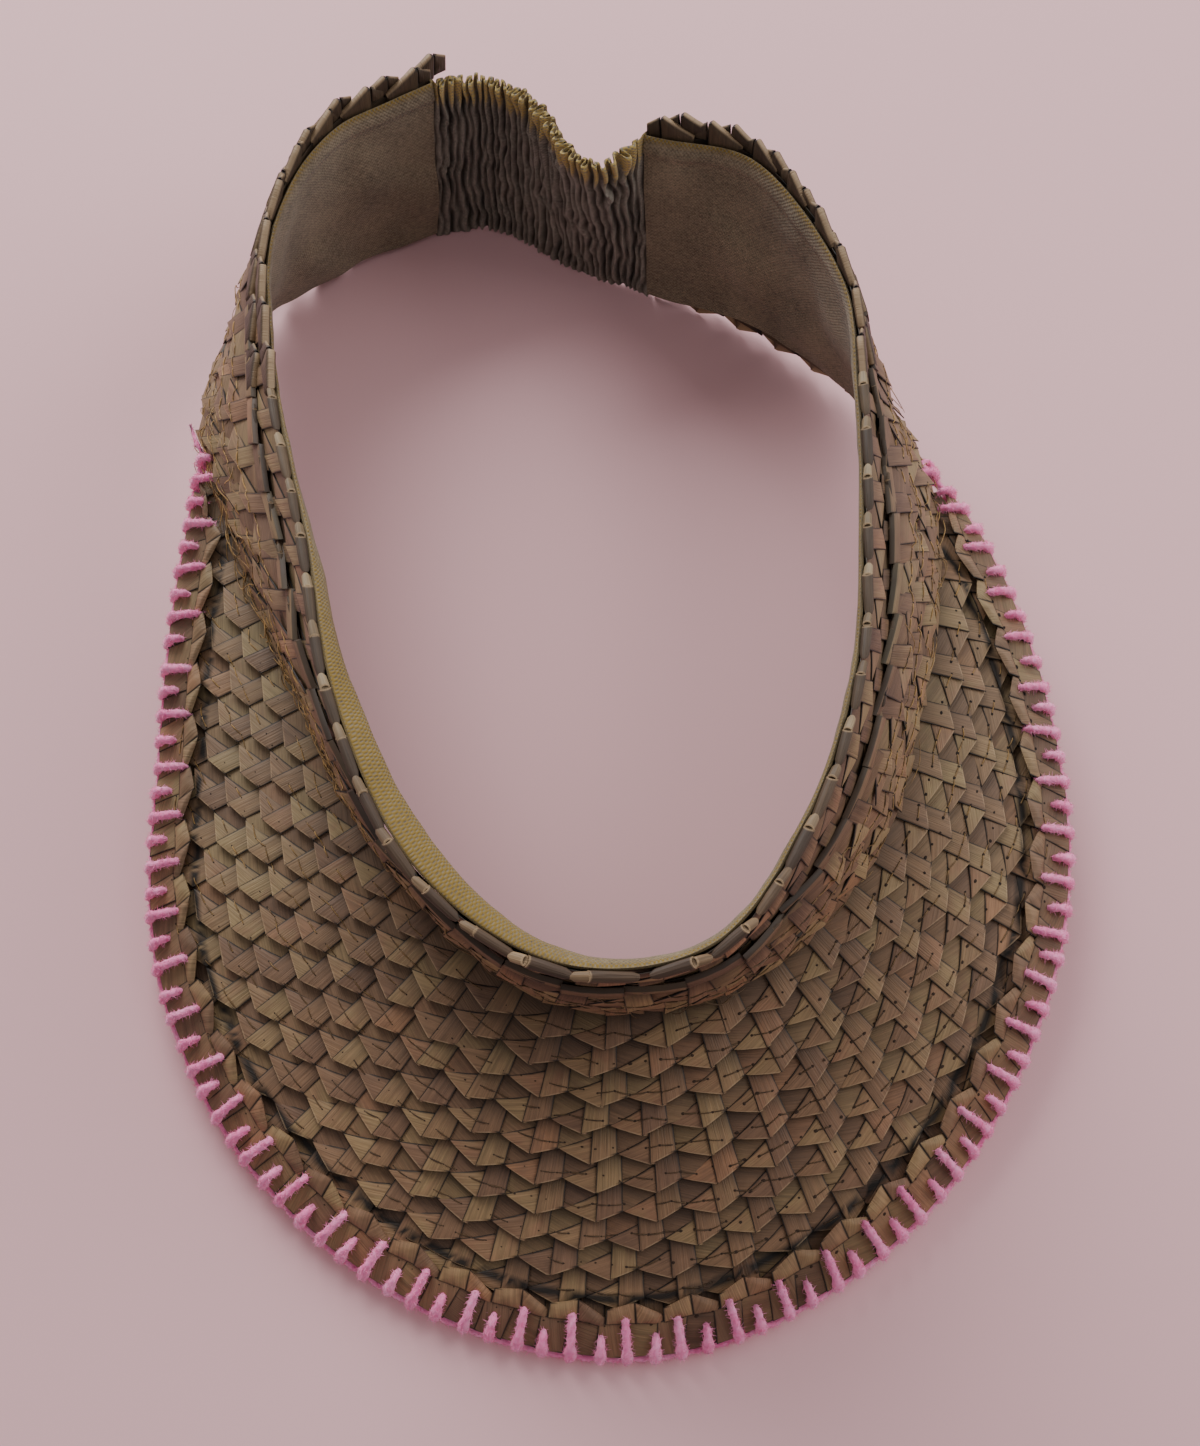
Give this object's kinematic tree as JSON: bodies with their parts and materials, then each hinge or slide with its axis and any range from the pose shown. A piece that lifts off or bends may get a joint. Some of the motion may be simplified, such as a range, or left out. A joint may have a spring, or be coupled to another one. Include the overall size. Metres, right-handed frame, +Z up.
{
  "type": "straw visor",
  "caption": "Open-topped straw sun visor with a lined, flared head band, a wide crescent brim edged in yarn and a gathered elastic back.",
  "frame": {"origin": "middle of the visor's footprint, on the surface that it rests on", "axes": "+Z up, -Y towards the front of the brim, +X towards the wearer's left as the visor faces -Y"},
  "size_m": [0.217, 0.3032, 0.0758],
  "materials": {
    "band_straw": "plaited palm-leaf straw, dull with a slight sheen",
    "brim_straw": "plaited palm-leaf straw, dull with a slight sheen",
    "lining_cotton": "plain-woven olive gold cotton",
    "elastic_cotton": "plain-woven olive cotton gathered over elastic",
    "yarn": "soft pink yarn, fuzzy"
  },
  "bodies": {
    "root": {"inner_band_row_1": "band_straw", "inner_band_row_2": "band_straw", "inner_band_row_3": "band_straw", "inner_band_row_4": "band_straw", "inner_band_row_5": "band_straw", "flare_row_1": "band_straw", "flare_row_2": "band_straw", "flare_row_3": "band_straw", "flare_row_4": "band_straw", "brim_row_01": "brim_straw", "brim_row_02": "brim_straw", "brim_row_03": "brim_straw", "brim_row_04": "brim_straw", "brim_row_05": "brim_straw", "brim_row_06": "brim_straw", "brim_row_07": "brim_straw", "brim_row_08": "brim_straw", "brim_row_09": "brim_straw", "brim_row_10": "brim_straw", "brim_row_11": "brim_straw", "brim_row_12": "brim_straw", "rim_braid": "brim_straw", "lining": "lining_cotton", "elastic_back": "elastic_cotton", "yarn_edging": "yarn"}
  },
  "joints": []
}
